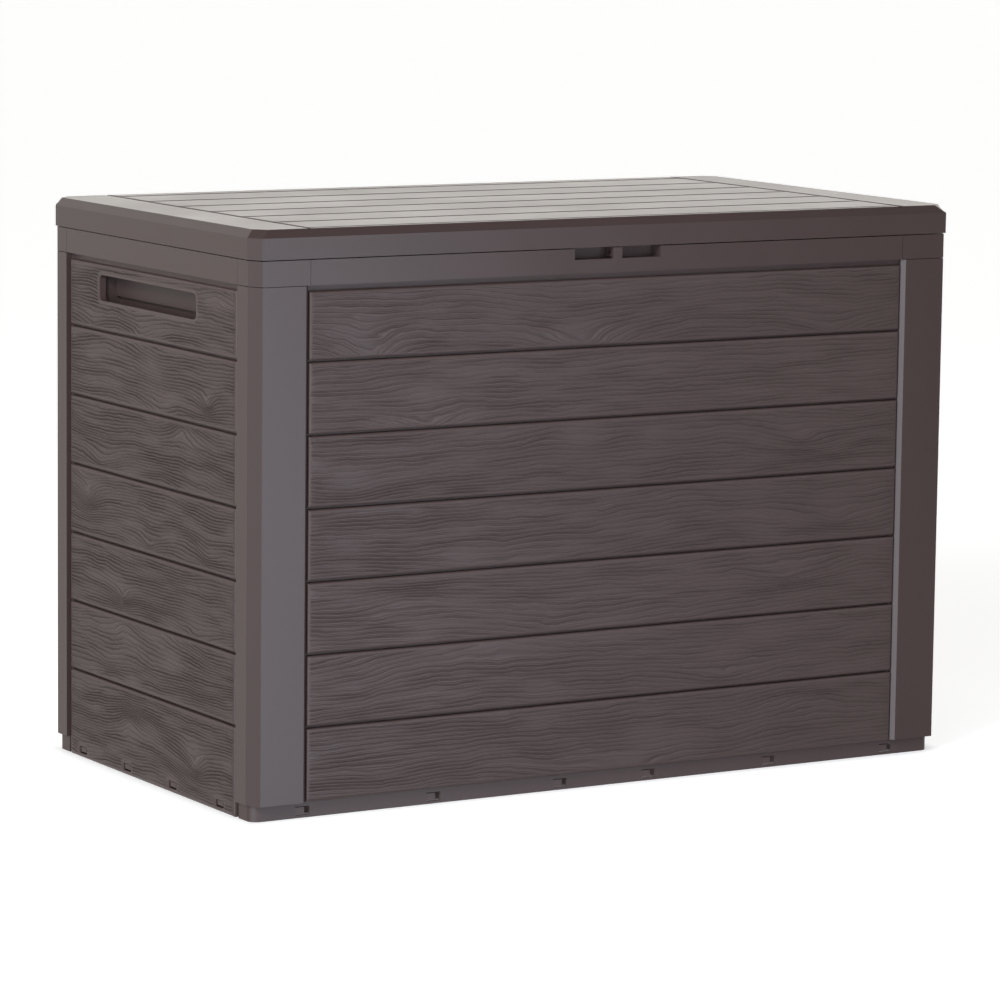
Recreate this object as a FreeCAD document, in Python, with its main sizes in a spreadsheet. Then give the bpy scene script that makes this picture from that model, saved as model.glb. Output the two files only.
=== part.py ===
"""A deck storage box in moulded resin: four boarded walls between corner posts, capped by rails, on a
base tray, under a planked lid on three rear hinges. Millimetres, +Z up, the front faces -Y, and the
origin is the centre of the footprint on the ground."""

import FreeCAD, Part
import math
import os
import re

import Sketcher

# Driving dimensions, written to the sheet "dims" and used by every expression below.
DIMENSIONS = {
    # overall
    "width": 780,
    "depth": 433,
    "height": 550,
    "lid_proud": 1.3,
    "corner_run_x": 7.6,
    "corner_run_y": 15,
    # levels
    "plinth_top": 16,
    "rail_skirt": 490,
    "board_top": 492,
    "rail_bottom": 498,
    "wall_top": 521.5,
    "lid_bottom": 522.5,
    # material
    "wall": 2.5,
    "panel_wall": 2,
    "rib_wall": 2.5,
    "rib_depth": 7,
    "slip": 0.2,
    # posts, caps and rails
    "post_edge_x": 336,
    "post_edge_y": 179.8,
    "post_leg": 4,
    "post_toe": 3.8,
    "post_gap": 0.6,
    "tuck": 10,
    "plug_slip": 0.4,
    "plug_drop": 11,
    "cap_edge_x": 331.7,
    "cap_clip": 10,
    "rail_depth": 23.2,
    "rail_gap": 0.4,
    # boards
    "front_sink": 8.6,
    "side_sink": 6.2,
    "front_raise": 7,
    "side_raise": 5,
    "front_field": 329,
    "side_field": 175,
    "board_first": 86,
    "board_pitch": 68.3,
    "board_gap": 1.6,
    # stiffening ribs
    "rib_level_low": 27,
    "rib_level_pitch": 153.3,
    "upright_pitch": 81.5,
    "side_upright_pitch": 75,
    "side_rib_high": 435,
    # base tray
    "plinth_sink_x": 3.5,
    "plinth_sink_y": 9.6,
    "plinth_radius": 10,
    "tray_clip": 14,
    "tray_rib_lift": 1,
    "tray_rib_pitch_x": 150,
    "tray_rib_pitch_y": 130,
    "foot_half": 15,
    # snap tabs and their windows
    "tab_first": 50.2,
    "tab_pitch": 140.65,
    "side_tab_first": 48.5,
    "side_tab_pitch": 97,
    "window_half": 7.75,
    "window_low": 2.5,
    "side_window_low": 4,
    "window_high": 11,
    "tab_back": 7.5,
    "tab_front": 2,
    "tab_root": 4.3,
    "tab_wall": 2.2,
    "tab_low": 3.6,
    "tab_high": 10,
    "lug_front": 4,
    "lug_low": 6,
    "lug_reach": 6.9,
    # handles
    "handle_low": 457,
    "handle_high": 482,
    "handle_front": 94,
    "handle_back": 109,
    "handle_radius": 5,
    "cup_depth": 19.5,
    "pad_height": 4.5,
    "pad_low": 460.5,
    "pad_high": 479,
    "cup_flange": 6,
    "cup_side": 6,
    "cup_above": 6,
    "cup_below": 11,
    # padlock pocket and tongue
    "lock_web": 5,
    "lock_reach": 48,
    "lock_floor": 511,
    "lock_depth": 12.2,
    "web_wall": 4,
    "lock_room": 5,
    "tongue_half": 4,
    "tongue_low": 512.5,
    "tongue_slip": 1.2,
    "tongue_foot": 19,
    "eye_radius": 3.3,
    "eye_height": 517.4,
    # hinges
    "hinge_y": 212.5,
    "hinge_z": 527,
    "hinge_pitch": 230,
    "knuckle_radius": 4,
    "knuckle_half": 30,
    "lid_knuckle_half": 10,
    "knuckle_gap": 0.5,
    "hinge_room": 5.5,
    "pin_radius": 2,
    "bore_radius": 2.05,
    "lid_relief": 1.6,
    # lid
    "bevel_rise": 7.5,
    "bevel_run": 6,
    "bevel_corner_x": 11.5,
    "bevel_corner_y": 11,
    "lid_step": 541.5,
    "plank_first": 140,
    "plank_pitch": 65,
    "plank_end": 331,
    "plank_gap": 2.5,
    "plank_depth": 1.5,
    "deck_wall": 3,
    "grid_depth": 10,
    "grid_pitch": 100,
    "grid_slip": 0.5,
}

# Lengths worked out from the driving dimensions, as expressions.
DERIVED = {
    "face_x": "(width / 2 - lid_proud)",
    "face_y": "(depth / 2 - lid_proud)",
    "panel_x": "(face_x - side_sink)",
    "panel_y": "(face_y - front_sink)",
    "panel_head": "(wall_top - wall - slip)",
    "plinth_x": "(face_x - plinth_sink_x)",
    "plinth_y": "(face_y - plinth_sink_y)",
    "tray_x": "(panel_x - panel_wall - slip)",
    "tray_y": "(plinth_y - wall)",
    "shelf_y": "(post_edge_y + slip)",
    "rib_skirt_top": "(rail_skirt - slip)",
    "front_step": "(plinth_sink_y - front_sink)",
    "rail_x": "(face_x - rail_depth)",
    "rail_y": "(face_y - rail_depth)",
    "post_top": "(rail_bottom - post_gap)",
    "grip": "(panel_wall + post_leg)",
    "web_slope": "((panel_y - grip - post_edge_y) / (panel_x - grip - post_edge_x))",
    "web_shift": "(wall * sqrt(1 + web_slope ^ 2))",
    "cup_mouth": "(panel_x - panel_wall)",
    "pocket_back": "(face_y - web_wall - lock_depth)",
    "deck_under": "(height - deck_wall)",
    "bevel_low": "(height - bevel_rise)",
    "attic_x": "(width / 2 - bevel_run - wall - 1)",
    "attic_y": "(depth / 2 - bevel_run - wall - 1)",
    "grid_x": "(attic_x - grid_slip)",
    "grid_y": "(attic_y - grid_slip)",
    "grid_low": "(deck_under - grid_depth)",
}

NAME_LIMIT = 60
MIDDLE_BOARDS = 5
TABS = (0, 1, 2)
FRONT, BACK, LEFT = -1, 1, -1
SIDES = (-1, 1)
OVERRUN = 1  # how far a cut runs past the material
FUNCTIONS = {"sqrt"}
AXIS_PLANES = {"x": "YZ_Plane", "y": "XZ_Plane", "z": "XY_Plane"}

doc = FreeCAD.newDocument("deck_box")
parts = {}


def fill_sheet():
    """The sheet of driving dimensions, one alias a row."""
    sheet = doc.addObject("Spreadsheet::Sheet", "dims")
    for row, (name, value) in enumerate(DIMENSIONS.items(), 1):
        sheet.set(f"A{row}", name)
        sheet.set(f"B{row}", str(value))
        sheet.setAlias(f"B{row}", name)
    doc.recompute()


def bound(text):
    """The expression with each name replaced by its cell, or by what it is derived from."""

    def cell(match):
        name = match.group()
        if name in FUNCTIONS:
            return name
        return bound(DERIVED[name]) if name in DERIVED else f"dims.{name}"

    return re.sub(r"[a-z][a-z_]*", cell, str(text))


def minus(text):
    """The expression's negative."""
    return f"-1 * ({text})"


def new_body(label):
    """An empty body for one sub-part."""
    body = doc.addObject("PartDesign::Body", label)
    body.Label = label
    parts[label] = body
    return body


def rectangle(left, right, low, high):
    """The four corners of a rectangle, as expressions."""
    return [(left, low), (right, low), (right, high), (left, high)]


def strip(centre, low, high, half="rib_wall / 2"):
    """A rectangle about a centre line that is upright in the sketch."""
    return rectangle(f"{centre} - {half}", f"{centre} + {half}", low, high)


def level_strip(left, right, centre, half="rib_wall / 2"):
    """A rectangle about a centre line that is level in the sketch."""
    return rectangle(left, right, f"{centre} - {half}", f"{centre} + {half}")


def blank_sketch(body, axis, start):
    """A sketch square to the axis, at the station start along it."""
    plane = next(o for o in body.Origin.OriginFeatures if o.Role == AXIS_PLANES[axis])
    sketch = body.newObject("Sketcher::SketchObject", f"{body.Name}_outline")
    sketch.AttachmentSupport = [(plane, "")]
    sketch.MapMode = "FlatFace"
    station = minus(start) if axis == "y" else start  # the XZ plane looks along -Y
    sketch.setExpression(".AttachmentOffset.Base.z", bound(station))
    return sketch


def pin_point(sketch, geometry, point, x, y):
    """Ties one point of the sketch to its place from the origin."""
    for kind, place in (("DistanceX", x), ("DistanceY", y)):
        index = sketch.addConstraint(Sketcher.Constraint(kind, -1, 1, geometry, point, 1.0))
        sketch.setExpression(f"Constraints[{index}]", bound(place))


def draw_loop(sketch, corners):
    """A closed outline of straight sides through the corners."""
    first = sketch.GeometryCount
    count = len(corners)
    turn = 2 * math.pi / count
    seeds = [FreeCAD.Vector(math.cos(turn * i), math.sin(turn * i), 0) for i in range(count)]
    for i in range(count):
        sketch.addGeometry(Part.LineSegment(seeds[i], seeds[(i + 1) % count]), False)
    for i in range(count):
        following = first + (i + 1) % count
        sketch.addConstraint(Sketcher.Constraint("Coincident", first + i, 2, following, 1))
    for i, (x, y) in enumerate(corners):
        pin_point(sketch, first + i, 1, x, y)


def draw_circle(sketch, x, y, radius):
    """A circle about a point."""
    seed = Part.Circle(FreeCAD.Vector(1, 1, 0), FreeCAD.Vector(0, 0, 1), 1)
    index = sketch.addGeometry(seed, False)
    pin_point(sketch, index, 3, x, y)
    size = sketch.addConstraint(Sketcher.Constraint("Radius", index, 1.0))
    sketch.setExpression(f"Constraints[{size}]", bound(radius))


def extrude(body, kind, axis, start, length, loops, circles):
    """A pad or pocket from the station start towards the positive axis."""
    sketch = blank_sketch(body, axis, start)
    for corners in loops:
        draw_loop(sketch, corners)
    for circle in circles:
        draw_circle(sketch, *circle)
    feature = body.newObject(f"PartDesign::{kind}", f"{body.Name}_{kind.lower()}")
    feature.Profile = sketch
    feature.Reversed = (kind == "Pocket") != (axis == "y")
    feature.setExpression("Length", bound(length))
    return feature


def pad(body, axis, start, length, *loops, circles=()):
    """Adds the outlines' prism to the body."""
    return extrude(body, "Pad", axis, start, length, loops, circles)


def cut(body, axis, start, length, *loops, circles=()):
    """Takes the outlines' prism out of the body."""
    return extrude(body, "Pocket", axis, start, length, loops, circles)


def repeat(body, features, axis, count, pitch):
    """Repeats the features along an origin axis of the body."""
    line = next(o for o in body.Origin.OriginFeatures if o.Role == f"{axis.upper()}_Axis")
    pattern = body.newObject("PartDesign::LinearPattern", f"{body.Name}_repeat")
    pattern.Originals = features
    pattern.Direction = (line, [""])
    pattern.Occurrences = count
    pattern.setExpression("Length", bound(f"{count - 1} * {pitch}"))
    body.Tip = pattern


def round_edges(body, wanted, radius):
    """Fillets the edges of the body's tip for which wanted(edge) is true."""
    doc.recompute()
    tip = body.Tip
    names = [f"Edge{i}" for i, edge in enumerate(tip.Shape.Edges, 1) if wanted(edge)]
    fillet = body.newObject("PartDesign::Fillet", f"{body.Name}_fillet")
    fillet.Base = (tip, names)
    fillet.setExpression("Radius", bound(radius))


def mirrored(source, label, normal):
    """A sub-part that is the mirror image of another across the origin."""
    image = doc.addObject("Part::Mirroring", label)
    image.Label = label
    image.Source = parts[source]
    image.Normal = normal
    parts[label] = image


def runs_along(edge, axis):
    """True for a straight edge parallel to the axis."""
    if len(edge.Vertexes) != 2:
        return False
    span = edge.Vertexes[1].Point - edge.Vertexes[0].Point
    return math.isclose(abs(getattr(span, axis)), span.Length, rel_tol=1e-6)


def layer(side, face, depth, thickness):
    """Station where a layer begins, depth inside the outer face of the wall on that side."""
    if side == FRONT:
        return f"{depth} - {face}"
    return f"{face} - ({depth}) - ({thickness})"


def add_board(body, axis, side, face, lift, field, low, high, hollow=True):
    """One raised board, hollow behind so that the wall keeps its thickness there."""
    outline = rectangle(minus(field), field, low, high)
    features = [pad(body, axis, layer(side, face, minus(lift), lift), lift, outline)]
    if hollow:
        inner = rectangle(f"panel_wall - {field}", f"{field} - panel_wall", f"{low} + panel_wall",
                          f"{high} - panel_wall")
        depth = f"{lift} + {OVERRUN}"
        features.append(cut(body, axis, layer(side, face, f"panel_wall - {lift}", depth), depth, inner))
    return features


def add_boards(body, axis, side, face, lift, field, bottom, hollow_top):
    """Seven raised boards with narrow gaps between them."""
    wall = (body, axis, side, face, lift, field)
    gap = "board_gap / 2"
    course = f"board_first + {MIDDLE_BOARDS} * board_pitch"
    add_board(*wall, bottom, f"board_first - {gap}")
    add_board(*wall, f"{course} + {gap}", "board_top", hollow_top)
    middle = add_board(*wall, f"board_first + {gap}", f"board_first + board_pitch - {gap}")
    repeat(body, middle, "z", MIDDLE_BOARDS, "board_pitch")


def clear_gaps(body, axis, side, face, lift, field):
    """Opens the gaps between the boards again where ribs cross them."""
    gap = level_strip(minus(field), field, "board_first", "board_gap / 2")
    depth = f"({lift} + {OVERRUN})"
    opened = cut(body, axis, layer(side, face, minus(depth), depth), depth, gap)
    repeat(body, [opened], "z", MIDDLE_BOARDS + 1, "board_pitch")


def tab_centres(which=TABS):
    """Places along X of the front and back snap tabs, counted from the middle."""
    return [f"{side} * (tab_first + {i} * tab_pitch)" for side in SIDES for i in which]


def side_tab_centres():
    """Places along Y of the side snap tabs."""
    return [f"{side} * (side_tab_first + {i} * side_tab_pitch)" for side in SIDES for i in range(2)]


def base_tray():
    """Floor plate on a skirt, with ribs and feet under it, windows for the wall tabs and side lugs."""
    body = new_body("base_tray")
    outline = [
        ("-plinth_x", "-plinth_y"),
        ("plinth_x", "-plinth_y"),
        ("plinth_x", "-shelf_y"),
        ("tray_x", "-shelf_y"),
        ("tray_x", "shelf_y"),
        ("plinth_x", "shelf_y"),
        ("plinth_x", "plinth_y"),
        ("-plinth_x", "plinth_y"),
        ("-plinth_x", "shelf_y"),
        ("-tray_x", "shelf_y"),
        ("-tray_x", "-shelf_y"),
        ("-plinth_x", "-shelf_y"),
    ]
    pad(body, "z", 0, "plinth_top", outline)
    corner_y = DIMENSIONS["post_edge_y"] + DIMENSIONS["tuck"]
    corner_x = DIMENSIONS["post_edge_x"] + DIMENSIONS["tuck"]

    def is_corner(edge):
        place = edge.CenterOfMass
        return runs_along(edge, "z") and abs(place.x) > corner_x and abs(place.y) > corner_y

    round_edges(body, is_corner, "plinth_radius")
    hollow = octagon("(tray_x - wall)", "tray_y", "tray_clip", "tray_clip")
    cut(body, "z", f"-{OVERRUN}", f"plinth_top - wall + {OVERRUN}", hollow)
    rib_height = "plinth_top - wall - tray_rib_lift"
    cross_rib = strip("-2 * tray_rib_pitch_x", "-tray_y", "tray_y")
    cross = pad(body, "z", "tray_rib_lift", rib_height, cross_rib)
    repeat(body, [cross], "x", 5, "tray_rib_pitch_x")
    long_ribs = [
        level_strip("wall - tray_x", "tray_x - wall", f"{i} * tray_rib_pitch_y") for i in (-1, 0, 1)
    ]
    pad(body, "z", "tray_rib_lift", rib_height, *long_ribs)
    feet = [
        strip(f"{i} * tray_rib_pitch_x", f"{j} * tray_rib_pitch_y - foot_half",
              f"{j} * tray_rib_pitch_y + foot_half", "foot_half")
        for i in (-2, 0, 2)
        for j in (-1, 0, 1)
    ]
    pad(body, "z", 0, "plinth_top - wall", *feet)
    windows = [strip(x, "window_low", "window_high", "window_half") for x in tab_centres()]
    cut(body, "y", f"-plinth_y - {OVERRUN}", f"wall + {OVERRUN}", *windows)
    cut(body, "y", "plinth_y - wall", f"wall + {OVERRUN}", *windows)
    for low, high in (("-tray_y", "wall + slip - tray_y"), ("tray_y - wall - slip", "tray_y")):
        slots = [
            rectangle(f"{x} - tab_root - wall", f"{x} + tab_front + wall", low, high)
            for x in tab_centres()
        ]
        cut(body, "z", f"plinth_top - wall - {OVERRUN}", f"wall + 2 * {OVERRUN}", *slots)
    lugs = [
        rectangle(f"{y} - tab_back", f"{y} + lug_front", "lug_low", "window_high - slip")
        for y in side_tab_centres()
    ]
    gaps = [
        [
            (f"{y} - window_half", "side_window_low"),
            (f"{y} + window_half", "side_window_low"),
            (f"{y} + window_half", "window_high"),
            (f"{y} + lug_front", "window_high"),
            (f"{y} + lug_front", "lug_low"),
            (f"{y} - window_half", "lug_low"),
        ]
        for y in side_tab_centres()
    ]
    for skirt, face in ((f"-tray_x - {OVERRUN}", "-tray_x - lug_reach"), ("tray_x - wall", "tray_x")):
        cut(body, "x", skirt, f"wall + {OVERRUN}", *gaps)
        pad(body, "x", face, "lug_reach", *lugs)


def long_wall(label, side, skin):
    """A boarded front or back wall: a thin skin, raised boards outside, ribs inside, tabs below."""
    body = new_body(label)
    pad(body, "y", layer(side, "panel_y", 0, "panel_wall"), "panel_wall", skin)
    add_boards(body, "y", side, "panel_y", "front_raise", "front_field", "plinth_top + slip", True)
    behind_boards, rib_length = "panel_wall - front_raise", "rib_depth + front_raise"
    inside = layer(side, "panel_y", behind_boards, rib_length)
    upright = strip("-4 * upright_pitch", "rib_level_low", "rib_skirt_top")
    repeat(body, [pad(body, "y", inside, rib_length, upright)], "x", 9, "upright_pitch")
    levels = [
        level_strip("-front_field", "front_field", f"rib_level_low + {i} * rib_level_pitch")
        for i in range(4)
    ]
    pad(body, "y", inside, rib_length, *levels)
    for which, start in ((TABS[:-1], behind_boards), (TABS[-1:], "0")):
        roots = [
            rectangle(f"{x} - tab_root", f"{x} + tab_front", "plinth_top", "rib_level_low")
            for x in tab_centres(which)
        ]
        root_depth = f"panel_wall + wall + slip + tab_wall - front_step - ({start})"
        pad(body, "y", layer(side, "panel_y", start, root_depth), root_depth, *roots)
    stems = [
        rectangle(f"{x} - tab_root", f"{x} + tab_front", "tab_low", "plinth_top")
        for x in tab_centres()
    ]
    stem_start = "wall + slip"
    pad(body, "y", layer(side, "plinth_y", stem_start, "tab_wall"), "tab_wall", *stems)
    hooks = [
        rectangle(f"{x} - tab_back", f"{x} + tab_front", "tab_low", "tab_high") for x in tab_centres()
    ]
    hook_depth = "tab_wall + slip"
    pad(body, "y", layer(side, "plinth_y", "wall - tab_wall + slip", hook_depth), hook_depth, *hooks)
    clear_gaps(body, "y", side, "panel_y", "front_raise", "front_field")


def front_panel():
    """Front wall, notched at the top for the padlock pocket."""
    edge, notch = "(post_edge_x + tuck)", "(lock_reach + lock_room)"
    skin = [
        (minus(edge), "plinth_top"),
        (edge, "plinth_top"),
        (edge, "panel_head"),
        (notch, "panel_head"),
        (notch, "lock_floor - lock_room"),
        (minus(notch), "lock_floor - lock_room"),
        (minus(notch), "panel_head"),
        (minus(edge), "panel_head"),
    ]
    long_wall("front_panel", FRONT, skin)


def back_panel():
    """Back wall, plain along the top."""
    edge = "(post_edge_x + tuck)"
    long_wall("back_panel", BACK, rectangle(minus(edge), edge, "plinth_top", "panel_head"))


def left_side_panel():
    """Boarded end wall with the handle opening, reaching down past the tray to the ground."""
    body = new_body("left_side_panel")
    tucked, drop = "(post_edge_y + tuck)", "(post_edge_y - slip)"
    skin = [
        (minus(tucked), "plinth_top"),
        (minus(drop), "plinth_top"),
        (minus(drop), 0),
        (drop, 0),
        (drop, "plinth_top"),
        (tucked, "plinth_top"),
        (tucked, "panel_head"),
        (minus(tucked), "panel_head"),
    ]
    pad(body, "x", "-panel_x", "panel_wall", skin)
    outside, through = "-panel_x - side_raise", "panel_wall + side_raise"
    add_boards(body, "x", LEFT, "panel_x", "side_raise", "side_field", 0, False)
    opening = rectangle("-handle_front", "handle_back", "handle_low", "handle_high")
    cut(body, "x", f"{outside} - {OVERRUN}", f"{through} + 2 * {OVERRUN}", opening)
    low, high = DIMENSIONS["handle_low"] - OVERRUN, DIMENSIONS["handle_high"] + OVERRUN
    reach = DIMENSIONS["handle_back"] + OVERRUN

    def is_opening_corner(edge):
        place = edge.CenterOfMass
        return runs_along(edge, "x") and low < place.z < high and abs(place.y) < reach

    round_edges(body, is_opening_corner, "handle_radius")
    windows = [
        strip(y, "side_window_low", "window_high", "window_half") for y in side_tab_centres()
    ]
    cut(body, "x", f"{outside} - {OVERRUN}", f"{through} + 2 * {OVERRUN}", *windows)
    upright = strip("-2 * side_upright_pitch", "rib_level_low", "side_rib_high")
    inside, rib_length = "-cup_mouth - side_raise", "rib_depth + side_raise"
    uprights = pad(body, "x", inside, rib_length, upright)
    repeat(body, [uprights], "y", 5, "side_upright_pitch")
    levels = [
        level_strip("tuck - side_field", "side_field - tuck", z)
        for z in (
            "rib_level_low",
            "rib_level_low + rib_level_pitch",
            "rib_level_low + 2 * rib_level_pitch",
            "side_rib_high",
        )
    ]
    pad(body, "x", inside, rib_length, *levels)
    clear_gaps(body, "x", LEFT, "panel_x", "side_raise", "side_field")


def handle_cup_left():
    """Finger cup behind the left handle opening, taller than the opening, with a pad on its back."""
    body = new_body("handle_cup_left")
    edges = ("-handle_front - cup_side", "handle_back + cup_side", "handle_low - cup_below",
             "handle_high + cup_above")
    flange = rectangle(f"{edges[0]} - cup_flange", f"{edges[1]} + cup_flange",
                       f"{edges[2]} - cup_flange", "rail_skirt - slip")
    bowl = rectangle(f"{edges[0]} + wall", f"{edges[1]} - wall", f"{edges[2]} + wall",
                     f"{edges[3]} - wall")
    pad(body, "x", "-cup_mouth", "panel_wall", flange)
    pad(body, "x", "-cup_mouth", "cup_depth", rectangle(*edges))
    cut(body, "x", f"-cup_mouth - {OVERRUN}", f"cup_depth + {OVERRUN} - wall", bowl)
    face = rectangle(f"{edges[0]} + wall - slip", f"{edges[1]} - wall + slip", "pad_low", "pad_high")
    pad(body, "x", "cup_depth - wall - cup_mouth - pad_height", "pad_height + slip", face)


def post_void(shrink):
    """The hollow inside the front left post, as an outline drawn in by shrink."""
    left = f"wall - face_x + {shrink}"
    front = f"wall - face_y + {shrink}"
    slot_y = f"-post_edge_y - tuck - wall - {shrink}"
    slot_x = f"-post_edge_x - tuck - wall - {shrink}"
    lining = f"panel_wall + wall - panel_x + {shrink}"
    web_start = f"grip - panel_y - web_shift - {shrink}"
    return [
        (left, slot_y),
        (left, f"corner_run_y + wall / 3 - face_y + {shrink}"),
        (f"corner_run_x + wall / 2 - face_x + {shrink}", front),
        (f"-post_edge_x - wall - {shrink}", front),
        (f"-post_edge_x - wall - {shrink}", f"-panel_y - wall - {shrink}"),
        (slot_x, f"-panel_y - wall - {shrink}"),
        (slot_x, f"{web_start} + web_slope * (tuck + wall)"),
        (lining, f"{web_start} + web_slope * (panel_x - panel_wall - wall - post_edge_x)"),
        (lining, slot_y),
    ]


def corner_post():
    """Hollow corner post at the front left, slotted for the edges of both walls."""
    body = new_body("corner_post_front_left")
    section = [
        ("-face_x", "-post_edge_y"),
        ("-face_x", "corner_run_y - face_y"),
        ("corner_run_x - face_x", "-face_y"),
        ("-post_edge_x", "-face_y"),
        ("post_toe - post_edge_x", "post_toe - face_y"),
        ("post_toe - post_edge_x", "-panel_y"),
        ("-post_edge_x - tuck", "-panel_y"),
        ("-post_edge_x - tuck", "panel_wall - panel_y"),
        ("-post_edge_x", "panel_wall - panel_y"),
        ("-post_edge_x", "grip - panel_y"),
        ("grip - panel_x", "-post_edge_y"),
        ("panel_wall - panel_x", "-post_edge_y"),
        ("panel_wall - panel_x", "-post_edge_y - tuck"),
        ("-panel_x", "-post_edge_y - tuck"),
        ("-panel_x", "-post_edge_y"),
    ]
    pad(body, "z", "plinth_top", "post_top - plinth_top", section)
    through = f"post_top - plinth_top + 2 * {OVERRUN}"
    cut(body, "z", f"plinth_top - {OVERRUN}", through, post_void(0))


def corner_cap():
    """Cap over the front left post, hollow below, with a plug that fits down the post."""
    body = new_body("corner_cap_front_left")
    outline = [
        ("-face_x", "-post_edge_y"),
        ("-face_x", "corner_run_y - face_y"),
        ("corner_run_x - face_x", "-face_y"),
        ("-cap_edge_x", "-face_y"),
        ("-cap_edge_x", "-rail_y"),
        ("-post_edge_x - tuck", "-rail_y"),
        ("-rail_x", "cap_clip - rail_y"),
        ("-rail_x", "-post_edge_y"),
    ]
    hollow = [
        ("wall - face_x", "tuck - post_edge_y"),
        ("wall - face_x", "corner_run_y + wall / 3 - face_y"),
        ("corner_run_x + wall / 2 - face_x", "wall - face_y"),
        ("tuck - cap_edge_x", "wall - face_y"),
        ("tuck - cap_edge_x", "-rail_y - wall"),
        ("-post_edge_x - tuck - wall / 3", "-rail_y - wall"),
        ("-rail_x - wall", "cap_clip - rail_y - wall"),
        ("-rail_x - wall", "tuck - post_edge_y"),
    ]
    pad(body, "z", "rail_bottom", "wall_top - rail_bottom", outline)
    cut(body, "z", f"rail_bottom - {OVERRUN}", f"wall_top - rail_bottom + {OVERRUN} - wall", hollow)
    pad(body, "z", "post_top - plug_drop", "wall_top - post_top + plug_drop - wall / 2",
        post_void("plug_slip"))


def channel(face, sink, inner):
    """Section of a top rail: outer face, top, inner skirt and the lip that covers the wall's edge."""
    return [
        (f"-{face}", "rail_bottom"),
        (f"{sink} - slip - {face}", "rail_bottom"),
        (f"{sink} - slip - {face}", "rail_bottom + wall"),
        (f"wall - {face}", "rail_bottom + wall"),
        (f"wall - {face}", "wall_top - wall"),
        (f"-{inner} - wall", "wall_top - wall"),
        (f"-{inner} - wall", "rail_skirt"),
        (f"-{inner}", "rail_skirt"),
        (f"-{inner}", "wall_top"),
        (f"-{face}", "wall_top"),
    ]


def left_rail():
    """Top rail over the left wall, between the corner caps."""
    body = new_body("left_rail")
    profile = channel("face_x", "side_sink", "rail_x")
    pad(body, "y", "rail_gap - post_edge_y", "2 * (post_edge_y - rail_gap)", profile)


def front_rail():
    """Top rail over the front wall, with the padlock pocket behind two windows and their web."""
    body = new_body("front_rail")
    profile = channel("face_y", "front_sink", "rail_y")
    pad(body, "x", "rail_gap - cap_edge_x", "2 * (cap_edge_x - rail_gap)", profile)
    housing = rectangle("-lock_reach - wall", "lock_reach + wall", "wall / 2 - face_y",
                        "wall - pocket_back")
    pad(body, "z", "lock_floor - wall", "wall_top - lock_floor + wall", housing)
    pocket = rectangle("-lock_reach", "lock_reach", "web_wall - face_y", "-pocket_back")
    cut(body, "z", "lock_floor", f"wall_top - lock_floor + {OVERRUN}", pocket)
    windows = [
        rectangle("lock_web", "lock_reach", "lock_floor", f"wall_top + {OVERRUN}"),
        rectangle("-lock_reach", "-lock_web", "lock_floor", f"wall_top + {OVERRUN}"),
    ]
    cut(body, "y", f"-face_y - {OVERRUN}", f"web_wall + 2 * {OVERRUN}", *windows)


def back_rail():
    """Top rail over the back wall, with the fixed knuckles of the three hinges."""
    body = new_body("back_rail")
    profile = [(minus(y), z) for y, z in channel("face_y", "front_sink", "rail_y")]
    pad(body, "x", "rail_gap - cap_edge_x", "2 * (cap_edge_x - rail_gap)", profile)
    inner_end = "lid_knuckle_half + knuckle_gap"
    length = f"knuckle_half - ({inner_end})"
    web = rectangle("hinge_y - knuckle_radius + 1", "face_y", "wall_top - wall / 2", "hinge_z")
    eye = [("hinge_y", "hinge_z", "knuckle_radius")]
    bore = [("hinge_y", "hinge_z", "bore_radius")]
    features = []
    for start in ("-hinge_pitch - knuckle_half", f"{inner_end} - hinge_pitch"):
        features.append(pad(body, "x", start, length, web))
        features.append(pad(body, "x", start, length, circles=eye))
        features.append(cut(body, "x", start, length, circles=bore))
    repeat(body, features, "x", 3, "hinge_pitch")


def hinge_pins():
    """Three plain pins along the hinge axis."""
    for index, place in enumerate(("left", "middle", "right")):
        pin = doc.addObject("Part::Cylinder", f"hinge_pin_{place}")
        pin.Label = f"hinge_pin_{place}"
        pin.setExpression("Radius", bound("pin_radius"))
        pin.setExpression("Height", bound("2 * knuckle_half"))
        pin.Placement.Rotation = FreeCAD.Rotation(FreeCAD.Vector(0, 1, 0), 90)
        pin.setExpression("Placement.Base.x", bound(f"{index - 1} * hinge_pitch - knuckle_half"))
        pin.setExpression("Placement.Base.y", bound("hinge_y"))
        pin.setExpression("Placement.Base.z", bound("hinge_z"))
        parts[pin.Label] = pin


def octagon(half_x, half_y, run_x, run_y):
    """A rectangle with its four corners cut off."""
    return [
        (f"{run_x} - {half_x}", minus(half_y)),
        (f"{half_x} - {run_x}", minus(half_y)),
        (half_x, f"{run_y} - {half_y}"),
        (half_x, f"{half_y} - {run_y}"),
        (f"{half_x} - {run_x}", half_y),
        (f"{run_x} - {half_x}", half_y),
        (minus(half_x), f"{half_y} - {run_y}"),
        (minus(half_x), f"{run_y} - {half_y}"),
    ]


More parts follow.
